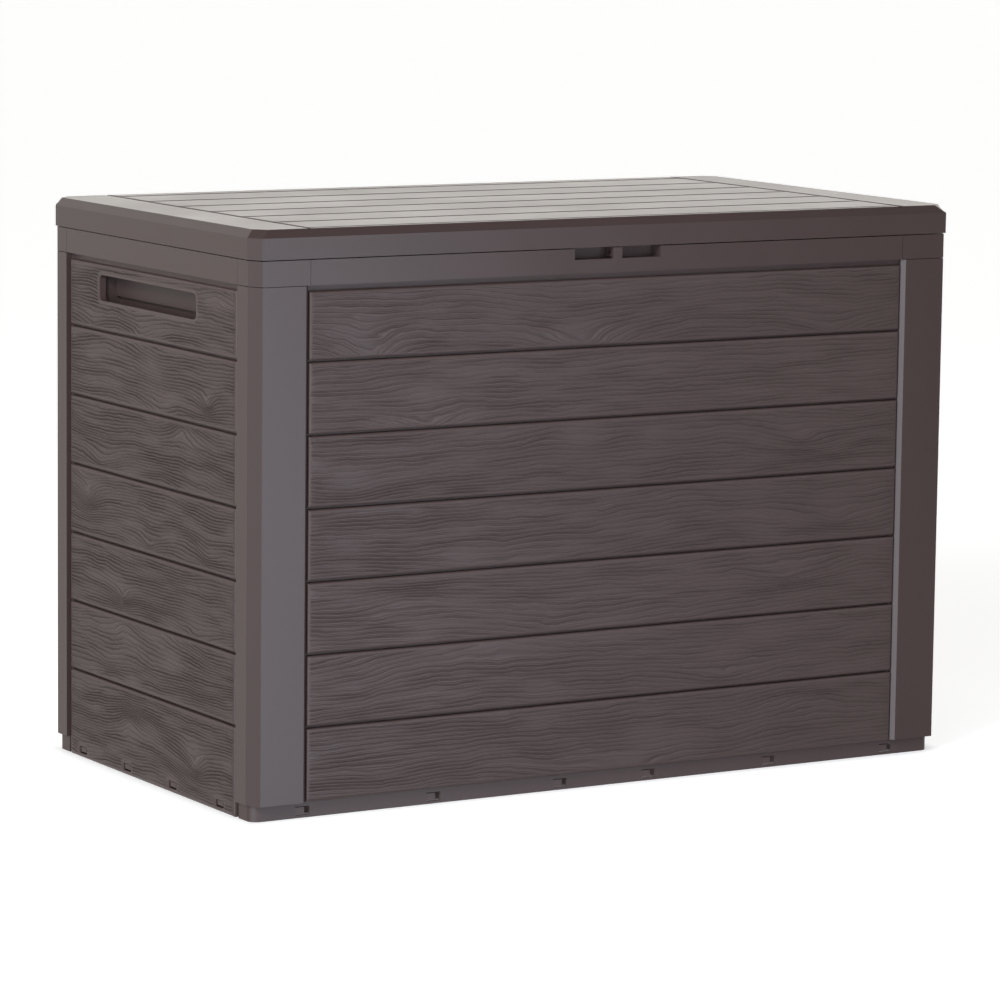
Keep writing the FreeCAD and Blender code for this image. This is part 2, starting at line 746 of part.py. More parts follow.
def lid_shell():
    """Planked lid: upright fascia, bevelled top edge, grooved deck and the moving hinge knuckles."""
    body = new_body("lid_shell")
    rim = octagon("(width / 2)", "(depth / 2)", "corner_run_x", "corner_run_y")
    pad(body, "z", "lid_bottom", "bevel_low - lid_bottom", rim)
    lower = blank_sketch(body, "z", "bevel_low")
    draw_loop(lower, rim)
    upper = blank_sketch(body, "z", "height")
    brow_x, brow_y = "(width / 2 - bevel_run)", "(depth / 2 - bevel_run)"
    draw_loop(upper, octagon(brow_x, brow_y, "bevel_corner_x", "bevel_corner_y"))
    bevel = body.newObject("PartDesign::AdditiveLoft", "lid_shell_bevel")
    bevel.Profile = lower
    bevel.Sections = [upper]
    bevel.Ruled = True
    hollow_x, hollow_y = "(width / 2 - wall)", "(depth / 2 - wall)"
    hollow = octagon(hollow_x, hollow_y, "corner_run_x + wall / 3", "corner_run_y + wall / 3")
    cut(body, "z", f"lid_bottom - {OVERRUN}", f"lid_step - lid_bottom + {OVERRUN}", hollow)
    attic = octagon("attic_x", "attic_y", "corner_run_x", "corner_run_y")
    cut(body, "z", f"lid_step - {OVERRUN}", f"deck_under - lid_step + {OVERRUN}", attic)
    groove_floor, groove_height = "height - plank_depth", f"plank_depth + {OVERRUN}"
    ends = [
        strip(f"{side} * plank_end", minus(brow_y) + f" - {OVERRUN}", f"{brow_y} + {OVERRUN}",
              "plank_gap / 2")
        for side in SIDES
    ]
    cut(body, "z", groove_floor, groove_height, *ends)
    seam = level_strip("-plank_end", "plank_end", "-plank_first", "plank_gap / 2")
    groove = cut(body, "z", groove_floor, groove_height, seam)
    repeat(body, [groove], "y", 6, "plank_pitch")
    relief = [
        ("depth / 2 - lid_relief", f"lid_bottom - {OVERRUN}"),
        (f"depth / 2 + {OVERRUN}", f"lid_bottom - {OVERRUN}"),
        (f"depth / 2 + {OVERRUN}", f"lid_bottom + lid_relief + {OVERRUN}"),
        ("depth / 2 - lid_relief", "lid_bottom"),
    ]
    cut(body, "x", f"-width / 2 - {OVERRUN}", f"width + 2 * {OVERRUN}", relief)
    add_lid_knuckles(body)


def add_lid_knuckles(body):
    """Three notches in the lid's rear skirt, each with a knuckle on an arm from the skirt."""
    notch = rectangle(
        "depth / 2 - wall - hinge_room",
        f"depth / 2 + {OVERRUN}",
        f"lid_bottom - {OVERRUN}",
        "hinge_z + hinge_room",
    )
    arm = [
        ("hinge_y - knuckle_radius + 1", "hinge_z"),
        ("hinge_y + knuckle_radius", "hinge_z"),
        ("hinge_y + knuckle_radius", "hinge_z + hinge_room + 1"),
        ("depth / 2 - wall", "lid_step + 1"),
        ("hinge_y - knuckle_radius + 1", "lid_step + 1"),
    ]
    start, length = "-hinge_pitch - lid_knuckle_half", "2 * lid_knuckle_half"
    eye = [("hinge_y", "hinge_z", "knuckle_radius")]
    bore = [("hinge_y", "hinge_z", "bore_radius")]
    room = f"(knuckle_half + {OVERRUN})"
    features = [
        cut(body, "x", f"-hinge_pitch - {room}", f"2 * {room}", notch),
        pad(body, "x", start, length, arm),
        pad(body, "x", start, length, circles=eye),
        cut(body, "x", start, length, circles=bore),
    ]
    repeat(body, features, "x", 3, "hinge_pitch")


def lid_rib_grid():
    """Stiffening grid under the lid's deck, open where the lock tongue stands."""
    body = new_body("lid_rib_grid")
    rim = octagon("grid_x", "grid_y", "corner_run_x", "corner_run_y")
    bay = octagon("(grid_x - wall)", "(grid_y - wall)", "corner_run_x", "corner_run_y")
    pad(body, "z", "grid_low", "grid_depth", rim, bay)
    cross = pad(body, "z", "grid_low", "grid_depth",
                strip("-3.5 * grid_pitch", "wall / 2 - grid_y", "grid_y - wall / 2"))
    repeat(body, [cross], "x", 8, "grid_pitch")
    level = pad(body, "z", "grid_low", "grid_depth",
                level_strip("wall / 2 - grid_x", "grid_x - wall / 2", "-grid_pitch"))
    repeat(body, [level], "y", 3, "grid_pitch")
    gap = rectangle("-tongue_foot - 1", "tongue_foot + 1", f"-grid_y - {OVERRUN}", "2 * wall - grid_y")
    cut(body, "z", f"grid_low - {OVERRUN}", f"grid_depth + 2 * {OVERRUN}", gap)


def lock_tongue():
    """Tongue that hangs from the lid behind the web, with the eye that the padlock's shackle threads."""
    body = new_body("lock_tongue")
    front, back = "(web_wall + tongue_slip - face_y)", "(-pocket_back - tongue_slip)"
    blade = [
        (front, "tongue_low"),
        (back, "tongue_low"),
        (back, "deck_under"),
        ("-attic_y", "deck_under"),
        ("-attic_y", "lid_step"),
        (front, "lid_step"),
    ]
    pad(body, "x", "-tongue_half", "2 * tongue_half", blade)
    foot = rectangle("-tongue_foot", "tongue_foot", "-attic_y", "tongue_foot - attic_y")
    pad(body, "z", "deck_under - 2 * wall", "2 * wall", foot)
    eye = [(f"({front} + {back}) / 2", "eye_height", "eye_radius")]
    cut(body, "x", "-tongue_half", "2 * tongue_half", circles=eye)


def build():
    """All sub-parts; the ones on the other side are mirror images."""
    fill_sheet()
    base_tray()
    front_panel()
    back_panel()
    left_side_panel()
    handle_cup_left()
    corner_post()
    corner_cap()
    left_rail()
    front_rail()
    back_rail()
    hinge_pins()
    lid_shell()
    lid_rib_grid()
    lock_tongue()
    across, along = FreeCAD.Vector(1, 0, 0), FreeCAD.Vector(0, 1, 0)
    mirrored("left_side_panel", "right_side_panel", across)
    mirrored("handle_cup_left", "handle_cup_right", across)
    mirrored("left_rail", "right_rail", across)
    for piece in ("corner_post", "corner_cap"):
        mirrored(f"{piece}_front_left", f"{piece}_front_right", across)
        mirrored(f"{piece}_front_left", f"{piece}_back_left", along)
        mirrored(f"{piece}_back_left", f"{piece}_back_right", across)
    doc.recompute()


def check_objects():
    """Stops on a failed object or on a pocket that cuts nothing."""
    for thing in doc.Objects:
        if {"Invalid", "Error"} & set(thing.State):
            raise RuntimeError(f"{thing.Name} failed: {thing.State}")
        if thing.TypeId != "PartDesign::Pocket":
            continue
        if thing.BaseFeature.Shape.Volume - thing.Shape.Volume < 1:
            raise RuntimeError(f"{thing.Name} cuts nothing")


def write_parts():
    """Stops on a bad solid, then writes one file a sub-part."""
    os.makedirs("parts", exist_ok=True)
    for label, thing in parts.items():
        shape = thing.Shape
        if shape.isNull() or not shape.isValid() or len(shape.Solids) != 1:
            raise RuntimeError(f"{label} is not one valid solid")
        if len(label) >= NAME_LIMIT:
            raise RuntimeError(f"{label} is too long a name")
        shape.exportStep(f"parts/{label}.step")
        box = shape.BoundBox
        low = f"{box.XMin:.1f} {box.YMin:.1f} {box.ZMin:.1f}"
        high = f"{box.XMax:.1f} {box.YMax:.1f} {box.ZMax:.1f}"
        print(f"{label}: {shape.Volume / 1000:.0f} cm3, from {low} to {high}")


build()
check_objects()
write_parts()
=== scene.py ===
"""Deck storage box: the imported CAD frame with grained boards, rounded arrises, resin materials, a
pale studio and the camera. Metres, +Z up, the front faces -Y."""

import math

import bmesh
import bpy
import numpy as np
from mathutils import Matrix, Vector


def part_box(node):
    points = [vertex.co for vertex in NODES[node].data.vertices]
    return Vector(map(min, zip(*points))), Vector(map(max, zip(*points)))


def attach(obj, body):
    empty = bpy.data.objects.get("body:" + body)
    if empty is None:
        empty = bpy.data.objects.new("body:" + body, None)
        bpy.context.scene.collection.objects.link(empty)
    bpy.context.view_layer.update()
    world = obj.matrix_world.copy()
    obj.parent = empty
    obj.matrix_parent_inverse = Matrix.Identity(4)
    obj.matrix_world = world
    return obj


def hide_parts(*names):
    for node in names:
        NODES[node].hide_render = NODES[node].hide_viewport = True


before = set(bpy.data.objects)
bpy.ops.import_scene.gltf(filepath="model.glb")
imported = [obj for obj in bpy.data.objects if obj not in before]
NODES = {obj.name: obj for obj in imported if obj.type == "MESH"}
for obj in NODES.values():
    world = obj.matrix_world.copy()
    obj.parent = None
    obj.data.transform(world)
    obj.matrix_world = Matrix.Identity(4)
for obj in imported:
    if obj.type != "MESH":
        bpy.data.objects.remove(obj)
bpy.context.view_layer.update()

MM = 0.001

# ---------------------------------------------------------------- boards, in millimetres
BOARD_FIRST = 86.0  # height of the lowest groove
BOARD_PITCH = 68.3
BOARD_GAP = 2.3
BOARD_TOP = 492.0
BOARD_COUNT = 7
EDGE_ROWS = (0.0, 0.02, 0.25, 0.9, 2.2, 3.9)  # mesh stations across the rounded rim of a board
RIM = EDGE_ROWS[-1]
ROUND = 1.7  # radius of a board's arrises
LIP = 0.65  # fall of the gentle slope between a board's plane and its arris
LIP_FOOT = 0.6  # the slope has its whole fall this far inside the outline
GRAIN_MARGIN, GRAIN_FADE = 1.2, 2.4  # bare margin of a board, and how wide the grain fades in
FULL_RELIEF = 0.55  # depth of the embossing at which the growth lines are drawn at full strength

# Boards of the long and the end walls: half length, bottom, how far they stand out of the skin,
# and depth of the embossing.
LONG_WALL = (331.1, 16.2, 7.0, 0.38)
END_WALL = (174.4, 0.0, 5.0, 0.62)
# Mesh steps along and across a board, and the pitch of its grain lines.
END_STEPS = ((2.6, 0.8, 3.1))
LONG_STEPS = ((3.6, 1.15, 4.0))

# Holes through the end walls: low and high along, low and high up, corner radius.
HANDLE = (-94.0, 109.0, 457.0, 482.0, 5.0)
WINDOW_HALF = 7.75
TAB_WINDOWS = [(y - WINDOW_HALF, y + WINDOW_HALF, 4.0, 11.0, 0.02)
               for y in (-145.5, -48.5, 48.5, 145.5)]
HOLE_DROP, HOLE_EASE = 0.7, 1.6  # how far a board falls at a hole, and over what width
HOLE_FADE = 4.0  # width over which the grain fades in round a hole
HOLE_REACH = 4.0  # mesh points this near to a hole may move onto its outline
HOLE_SLACK = 0.4  # CAD faces this near to a hole are its own walls
SKIN_SLACK = 2e-5  # CAD points this near to the boards' plane lie on it, in metres
WELD = 1e-6  # CAD points this near to each other are one, in metres
FACING = 0.9  # faces whose normal lies this much along the wall's are boards, not hole walls

# Waviness of the grain: height, run along the board, rise across it, step of the seed.
GRAIN_WAVES = ((5.0, 150, 60, 0), (2.2, 52, 22, 1), (0.9, 19, 9, 2), (0.45, 8, 4.5, 5))
PHASE_WAVE = (0.35, 80, 11, 3)
STRENGTH_WAVE = (0.4, 42, 5.5, 4)
STRENGTH_MIDDLE, STRENGTH_LIMITS = 0.80, (0.3, 1.1)
BOARD_SEED_STEP = 31
FIGURE_SHARE, FIGURE_FALL, FIGURE_TIP = 0.85, 1.5, 0.04  # height, fall and bluntness of a figure

# Grain figure of each board, from the lowest up: knots and arches as
# (place along the board from 0 to 1, place across from 0 to 1, half length, half height, push)
FRONT_FIGURE = (
    ((0.10, 0.30, 60, 18, 16), (0.52, -0.1, 120, 26, 30), (0.86, 0.75, 70, 16, -14)),
    ((0.30, 1.05, 130, 26, -28), (0.70, 0.15, 90, 20, 18)),
    ((0.16, 0.65, 80, 16, -13), (0.44, -0.1, 110, 24, 26), (0.80, 0.55, 60, 14, 19)),
    ((0.28, -0.05, 140, 24, 24), (0.62, 0.9, 90, 18, -16), (0.90, 0.3, 60, 16, 14)),
    ((0.40, 0.95, 110, 20, -18), (0.83, 0.5, 58, 15, 20), (0.08, 0.2, 70, 18, 12)),
    ((0.20, -0.02, 60, 24, 30), (0.58, 0.85, 150, 22, -16), (0.93, 0.2, 70, 18, 12)),
    ((0.10, -0.05, 52, 30, 36), (0.44, 0.02, 88, 34, 42), (0.88, 0.05, 60, 24, 28)),
)
SIDE_FIGURE = (
    ((0.22, 0.40, 30, 20, 24), (0.62, 0.62, 42, 20, -24), (0.9, 0.1, 40, 20, 12)),
    ((0.40, 1.1, 60, 24, -22), (0.64, 0.92, 52, 20, -20)),
    ((0.20, 0.0, 60, 22, 16), (0.66, 0.30, 30, 14, 20)),
    ((0.88, 0.62, 24, 20, 27), (0.50, 0.12, 34, 14, 17), (0.15, 0.2, 40, 16, 10)),
    ((0.30, 0.9, 46, 20, -22), (0.80, 0.1, 60, 26, 22)),
    ((0.16, 0.30, 24, 14, 20), (0.44, 0.0, 44, 18, 16), (0.74, 0.95, 120, 34, -30)),
    ((0.56, 0.0, 40, 24, 26), (0.84, 0.1, 40, 20, 14), (0.1, 0.9, 50, 20, -14)),
)

# ---------------------------------------------------------------- resin, in metres
BROWN = (0.050, 0.032, 0.030)
BLACK = (0.01, 0.01, 0.01)
MOTTLE, SPECKLE = 0.10, 0.05  # slow and fine variation of the colour
ROUGHNESS_SPREAD = 0.06
RESIN_IOR = 1.46
SLOW_NOISE = {"Scale": 9.0, "Detail": 3.0, "Roughness": 0.55}
FINE_NOISE = {"Scale": 420.0, "Detail": 2.0, "Roughness": 0.6}
FIBRE_NOISE = {"Scale": 1.0, "Detail": 2.0, "Roughness": 0.6, "Distortion": 0.4}
FIBRE_SCALE = (22, 22, 520)  # fine fibres a few centimetres long and two millimetres apart
GROWTH_LINES = ((1.0, 5.0, 0.65), (2.0, 3.0, 0.55))  # rate, sharpness and share of each set
LIGHTER_BETWEEN = 0.30  # how far the resin between growth lines brightens, as a share of their depth
BOARD_TONES = (0.96, 1.04)
TEXTURE_DEPTH = 0.0004
VALLEY_BUMP, FIBRE_BUMP, PLANK_BUMP = (1.0, 0.0008), (0.55, 0.0005), (1.0, 0.004)
PLANK_FIRST, PLANK_PITCH, PLANK_END = -0.140, 0.065, 0.331  # seams between the lid's planks
PLANK_EDGE = 0.0055  # width of the slope on each side of a seam
DECK_LOW = 0.5492  # only the lid's top face lies above this height
# Flatter edges than the first merge their faces, sharper ones than the second are rounded; degrees.
FLAT_ANGLE, ARRIS_ANGLE = 0.5, 25

# ---------------------------------------------------------------- studio, in metres
# Radiance of the surroundings in front of the box, beside it, behind it, above it and at its left.
SKY_FRONT, SKY_SIDE, SKY_BACK, SKY_TOP, SKY_LEFT = 0.07, 0.70, 2.0, 0.35, 3.1
SKY_WARM, SKY_COOL = (1, 0.97, 0.92, 1), (0.80, 0.90, 1, 1)  # the cool tint is the left's
TO_THE_BACK, TO_THE_LEFT = (0.51, 0.86), (-0.86, -0.51)  # level directions
# How closely a direction follows one of those, or +Z, where each radiance begins and is whole.
SIDE_SPAN, BACK_SPAN, LEFT_SPAN, TOP_SPAN = (-0.4, 0.45), (0.55, 0.95), (0.70, 0.93), (0.3, 0.75)
FLOOR_REACH = 40
FLOOR_GREY = (0.86, 0.86, 0.86, 1)
FLOOR_ROUGHNESS = 0.9
GLOW = 0.6
SHADOW_HALF_X, SHADOW_HALF_Y, SHADOW_EDGE = 0.385, 0.205, 0.02  # the floor doesn't glow under the box and its glow fades in round it: a painted contact shadow
# Name, place, aim, width, height, power and colour.
LIGHTS = (
    ("key", (-2.6, -1.7, 2.0), (0, 0, 0.3), 0.8, 0.8, 67, (1.0, 0.99, 0.98)),
    ("front_fill", (0.10, -1.4, 0.05), (-0.2, -0.2, 0.05), 0.6, 1.2, 9.5, (0.78, 0.88, 1.0)),
    ("front_high", (1.1, -1.9, 1.3), (0.0, -0.2, 0.25), 1.6, 0.4, 5.0, (0.95, 0.97, 1.0)),
    ("edge_strip", (-1.0, -2.6, 0.3), (-0.36, -0.2, 0.3), 0.16, 1.6, 9.5, (1.0, 1.0, 1.0)),
)

# ---------------------------------------------------------------- camera
CAMERA_MM = (-2406.578, -4023.560, 917.314)
YAW, PITCH_ANGLE, ROLL = 0.53934, -0.14104, -0.01209
LENS_MM, SENSOR_MM = 171.2448, 36
FAR_CLIP = 100


# ---------------------------------------------------------------- grain of a board
def smooth(t):
    """Eased step from 0 to 1."""
    t = np.clip(t, 0, 1)
    return t * t * (3 - 2 * t)


def lattice_noise(x, y, seed):
    """Smooth noise from -1 to 1 over a seeded square lattice of unit spacing."""
    size, origin = 96, 1000  # the lattice repeats after size; origin keeps places positive
    table = np.random.default_rng(seed).uniform(-1, 1, (size, size))
    x, y = np.asarray(x, float) + origin, np.asarray(y, float) + origin
    i, j = np.floor(x).astype(int), np.floor(y).astype(int)
    fx, fy = smooth(x - i), smooth(y - j)
    a, b = table[i % size, j % size], table[(i + 1) % size, j % size]
    c, d = table[i % size, (j + 1) % size], table[(i + 1) % size, (j + 1) % size]
    return (a * (1 - fx) + b * fx) * (1 - fy) + (c * (1 - fx) + d * fx) * fy


def wave(u, v, settings, seed):
    """Noise with a height, a run along the board and a rise across it."""
    height, run, rise, step = settings
    return height * lattice_noise(u / run, v / rise, seed + step)


def grain(u, v, length, height, figure, pitch, seed):
    """Embossed grain at u along and v across a board: depth from 0 to about 1, phase of the growth
    lines and how strongly they're cut."""
    w = v
    for settings in GRAIN_WAVES:
        w = w + wave(u, v, settings, seed)
    for at_u, at_v, run, rise, push in figure:
        away = ((u - at_u * length) / run) ** 2 + ((v - at_v * height) / rise) ** 2
        w = w + FIGURE_SHARE * push * np.exp(-FIGURE_FALL * np.sqrt(away + FIGURE_TIP))
    phase = w / pitch + wave(u, w, PHASE_WAVE, seed)
    line = (0.5 + 0.5 * np.sin(2 * math.pi * phase)) ** 2
    strength = np.clip(STRENGTH_MIDDLE + wave(u, w, STRENGTH_WAVE, seed), *STRENGTH_LIMITS)
    return line * strength, phase, strength


def stations(length, step):
    """Places along a board's side, close together over the rounded rim at both ends."""
    rim = np.array(EDGE_ROWS)
    count = max(2, round((length - 2 * RIM) / step))
    inner = np.linspace(RIM, length - RIM, count + 1)[1:-1]
    return np.concatenate([rim, inner, length - rim[::-1]])


def edge_distance(u, v, length, height):
    """Distance from the nearest side of a board."""
    return np.minimum(np.minimum(u, length - u), np.minimum(v, height - v))


def rim_drop(edge, lift):
    """How far the surface lies below the board's plane at a distance from its outline."""
    steep = np.sqrt(np.clip(1 - (1 - np.clip(edge / ROUND, 0, 1)) ** 2, 0, 1))
    shallow = smooth((edge - LIP_FOOT) / (RIM - LIP_FOOT))
    return np.where(edge <= 0, lift, ROUND * (1 - steep) + LIP * (1 - shallow))


def board_field(length, height, lift, relief, steps, figure, seed):
    """Grid of a board as 2-D arrays: u, v, height above the skin without and with the grain,
    strength and phase of the grain."""
    u, v = np.meshgrid(stations(length, steps[0]), stations(height, steps[1]), indexing="ij")
    edge = edge_distance(u, v, length, height)
    depth, phase, strength = grain(u, v, length, height, figure, steps[2], seed)
    inside = smooth((edge - GRAIN_MARGIN) / GRAIN_FADE)
    drop = rim_drop(edge, lift)
    rise = lift - (drop + relief * depth * inside)
    return u, v, lift - drop, rise, strength * inside * relief / FULL_RELIEF, phase


# ---------------------------------------------------------------- holes through boards
def hole_frame(hole):
    """Centre of a rectangle with rounded corners, its half sizes less the radius, and the radius."""
    low_p, high_p, low_q, high_q, radius = hole
    half = (high_p - low_p) / 2 - radius, (high_q - low_q) / 2 - radius
    return ((low_p + high_p) / 2, (low_q + high_q) / 2), half, radius


def signed_gap(p, q, hole):
    """Distance outside a rounded rectangle, negative inside."""
    (cp, cq), (hp, hq), radius = hole_frame(hole)
    dp, dq = np.abs(p - cp) - hp, np.abs(q - cq) - hq
    outside = np.hypot(np.maximum(dp, 0), np.maximum(dq, 0))
    return outside + np.minimum(np.maximum(dp, dq), 0) - radius


def snap_to_outline(p, q, hole):
    """Nearest point on the outline of a rectangle with rounded corners; arrays in, arrays out."""
    (cp, cq), (hp, hq), radius = hole_frame(hole)
    tiny = 1e-9
    dp, dq = p - cp, q - cq
    core_p, core_q = np.clip(dp, -hp, hp), np.clip(dq, -hq, hq)
    ex, ey = dp - core_p, dq - core_q
    far = np.hypot(ex, ey)
    outside = far > tiny
    scale = np.where(outside, radius / np.maximum(far, tiny), 0)
    to_p, to_q = hp + radius - np.abs(dp), hq + radius - np.abs(dq)
    flat_p = np.where(to_p <= to_q, np.sign(dp) * (hp + radius), dp)
    flat_q = np.where(to_p <= to_q, dq, np.sign(dq) * (hq + radius))
    return (cp + np.where(outside, core_p + ex * scale, flat_p),
            cq + np.where(outside, core_q + ey * scale, flat_q))


def cut_holes(u, v, rise, holes):
    """Opens holes in a board's grid. Moves rim points onto the outlines and lowers the board round
    them, both in place, and returns which quads stay."""
    keep = np.ones((u.shape[0] - 1, u.shape[1] - 1), bool)
    for hole in holes:
        middle_u, middle_v = (u[:-1, :-1] + u[1:, 1:]) / 2, (v[:-1, :-1] + v[1:, 1:]) / 2
        stays = signed_gap(middle_u, middle_v, hole) > 0
        touched = np.zeros(u.shape, int)
        for i in (0, 1):
            for j in (0, 1):
                touched[i:i + keep.shape[0], j:j + keep.shape[1]] += stays
        rim = (touched > 0) & (touched < 4) & (np.abs(signed_gap(u, v, hole)) < HOLE_REACH)
        on_u, on_v = snap_to_outline(u, v, hole)
        u[rim], v[rim] = on_u[rim], on_v[rim]
        gap = signed_gap(u, v, hole)
        drop = np.where(rim, HOLE_DROP, HOLE_DROP * (1 - smooth(gap / HOLE_EASE)))
        rise -= np.where(gap < HOLE_EASE, drop, 0)
        keep &= stays
    return keep


# ---------------------------------------------------------------- boarded walls
class Builder:
    """Collects grids of quads into one mesh, with the grain's strength and phase and the board's
    tone at each point."""

    def __init__(self):
        self.points, self.quads = [], []
        self.layers = {"grain": [], "tone": [], "phase": []}
        self.count = 0

    def add(self, xyz, strength, phase, tone, keep=None, flip=False):
        """Adds a grid of points; keep says which of its quads stay, flip turns them over."""
        rows, columns = xyz.shape[:2]
        index = np.arange(rows * columns).reshape(rows, columns) + self.count
        quads = np.stack([index[:-1, :-1], index[1:, :-1], index[1:, 1:], index[:-1, 1:]], -1)
        quads = quads[..., ::-1] if flip else quads
        self.quads.append(quads.reshape(-1, 4) if keep is None else quads[keep])
        self.points.append(xyz.reshape(-1, 3))
        self.layers["grain"].append(strength.reshape(-1))
        self.layers["tone"].append(np.full(rows * columns, tone))
        self.layers["phase"].append(phase.reshape(-1))
        self.count += rows * columns

    def mesh(self, name):
        """One mesh of all the grids, without the points that no quad uses."""
        used, quads = np.unique(np.concatenate(self.quads), return_inverse=True)
        quads = quads.reshape(-1, 4)
        points = (np.concatenate(self.points) * MM)[used]
        mesh = bpy.data.meshes.new(name)
        mesh.vertices.add(len(points))
        mesh.vertices.foreach_set("co", points.astype(np.float32).ravel())
        mesh.loops.add(quads.size)
        mesh.loops.foreach_set("vertex_index", quads.astype(np.int32).ravel())
        mesh.polygons.add(len(quads))
        mesh.polygons.foreach_set("loop_start", np.arange(0, quads.size, 4, dtype=np.int32))
        mesh.update(calc_edges=True)
        for label, values in self.layers.items():
            layer = mesh.attributes.new(label, "FLOAT", "POINT")
            layer.data.foreach_set("value", np.concatenate(values)[used].astype(np.float32))
        mesh.polygons.foreach_set("use_smooth", np.ones(len(quads), bool))
        return mesh


def boards_mesh(name, axis, side, plane, wall, steps, figures, seed, holes):
    """The grained boards of a wall, standing on its skin at plane."""
    field, bottom, lift, relief = wall
    grooves = [BOARD_FIRST + i * BOARD_PITCH for i in range(BOARD_COUNT - 1)]
    lows = [bottom] + [z + BOARD_GAP / 2 for z in grooves]
    highs = [z - BOARD_GAP / 2 for z in grooves] + [BOARD_TOP]
    length = 2 * field
    builder = Builder()
    rng = np.random.default_rng(seed)
    for i, (low, high) in enumerate(zip(lows, highs)):
        u, v, flat, rise, strength, phase = board_field(
            length, high - low, lift, relief, steps, figures[i], seed + BOARD_SEED_STEP * i)
        near = [h for h in holes if h[3] > low and h[2] < high]
        local = [(h[0] + field, h[1] + field, h[2] - low, h[3] - low, h[4]) for h in near]
        keep = None
        if local:
            gap = np.min([signed_gap(u, v, h) for h in local], axis=0)
            calm = smooth((gap - GRAIN_MARGIN) / HOLE_FADE)
            rise = flat + (rise - flat) * calm
            strength = strength * calm
            keep = cut_holes(u, v, rise, local)
        along, up = u - field, v + low
        out = side * (plane + rise)
        xyz = np.stack([along, out, up] if axis == "y" else [out, along, up], -1)
        flip = (axis == "y") == (side > 0)
        builder.add(xyz, strength, phase, rng.uniform(-1, 1), keep, flip)
    return builder.mesh(f"{name}_grained")


def wall_without_boards(name, axis, side, face, holes):
    """A copy of a wall's CAD mesh without its flat boards' faces; the walls of its holes stay, cut
    back to the grained boards. face is how far out the boards' plane lies, in metres."""
    k = 1 if axis == "y" else 0
    shell = bmesh.new()
    shell.from_mesh(NODES[name].data)
    bmesh.ops.remove_doubles(shell, verts=shell.verts, dist=WELD)
    doomed = []
    for facet in shell.faces:
        if max(side * point.co[k] for point in facet.verts) > face - SKIN_SLACK:
            centre = facet.calc_center_median()
            along, up = centre[1 - k] / MM, centre[2] / MM
            in_hole = any(signed_gap(along, up, h) < HOLE_SLACK for h in holes)
            if abs(facet.normal[k]) > FACING or not in_hole:
                doomed.append(facet)
    bmesh.ops.delete(shell, geom=doomed, context="FACES")
    for point in shell.verts:
        if side * point.co[k] > face - SKIN_SLACK:
            point.co[k] = side * (face - HOLE_DROP * MM)
    rest = bpy.data.meshes.new(f"{name}_rest")
    shell.to_mesh(rest)
    shell.free()
    return rest


def grained_panel(name, axis, side, wall, steps, figures, seed, holes=()):
    """A copy of a wall's CAD node with its flat boards swapped for grained, pillowed ones.

    axis is the wall's normal, side its sign, wall and steps as in LONG_WALL and LONG_STEPS, holes
    the openings through the boards as rectangles with rounded corners."""
    lift = wall[2]
    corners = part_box(name)
    outermost = corners[1 if side > 0 else 0][1 if axis == "y" else 0]
    plane = side * outermost / MM - lift
    boards = boards_mesh(name, axis, side, plane, wall, steps, figures, seed, holes)
    skin = wall_without_boards(name, axis, side, (plane + lift) * MM, holes)
    rest = bpy.data.objects.new("rest", skin)
    piece = bpy.data.objects.new(f"{name}_grained", boards)
    for item in (piece, rest):
        bpy.context.scene.collection.objects.link(item)
    with bpy.context.temp_override(active_object=piece, object=piece,
                                   selected_objects=[piece, rest],
                                   selected_editable_objects=[piece, rest]):
        bpy.ops.object.join()
    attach(piece, "box")
    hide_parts(name)
    return piece


# ---------------------------------------------------------------- nodes
def feed(tree, socket, value):
    """Links a socket's value to an input, or sets the input to a plain value."""
    if isinstance(value, bpy.types.NodeSocket):
        tree.links.new(value, socket)
    else:
        socket.default_value = value


def add_node(tree, kind, **settings):
    """A new node with its properties set and its inputs fed, both by name."""
    item = tree.nodes.new(kind)
    for key, value in settings.items():
        if key in item.inputs:
            feed(tree, item.inputs[key], value)
        else:
            setattr(item, key, value)
    return item


def arithmetic(tree, operation, first, second=0.0):
    """A step of arithmetic on sockets or numbers."""
    item = add_node(tree, "ShaderNodeMath", operation=operation)
    for socket, value in zip(item.inputs, (first, second)):
        feed(tree, socket, value)
    return item.outputs["Value"]


def map_range(tree, value, span, start, end, kind="LINEAR"):
    """Goes from start to end as the value goes over a span, and stays there beyond it."""
    item = add_node(tree, "ShaderNodeMapRange", interpolation_type=kind)
    names = ("Value", "From Min", "From Max", "To Min", "To Max")
    for name, number in zip(names, (value, *span, start, end)):
        feed(tree, item.inputs[name], number)
    return item.outputs["Result"]


def blend(tree, factor, first, second, blend_type="MIX", data_type="RGBA"):
    """A mix of two colours, or of two numbers."""
    item = add_node(tree, "ShaderNodeMix", data_type=data_type, blend_type=blend_type)
    for name, value in zip(("Factor", "A", "B"), (factor, first, second)):
        feed(tree, item.inputs[name], value)
    return item.outputs["Result"]


def noise(tree, where, settings):
    """A noise texture's value at a place."""
    return add_node(tree, "ShaderNodeTexNoise", Vector=where, **settings).outputs["Fac"]


def stretched(tree, where, scale):
    """A place with its axes scaled."""
    return add_node(tree, "ShaderNodeMapping", Vector=where, Scale=scale).outputs["Vector"]


def bump(tree, height, strength, distance, under=None, invert=False):
    """Normal of a bumped surface, on top of another bump's normal if there is one."""
    item = add_node(tree, "ShaderNodeBump", Height=height, Strength=strength, Distance=distance,
                    invert=invert)
    if under is not None:
        feed(tree, item.inputs["Normal"], under)
    return item.outputs["Normal"]


def attribute(tree, name):
    """A value kept at the points of the mesh."""
    return add_node(tree, "ShaderNodeAttribute", attribute_name=name).outputs["Fac"]


def coordinates(tree, kind="Object"):
    """The place on the object, or the direction in the world."""
    return add_node(tree, "ShaderNodeTexCoord").outputs[kind]


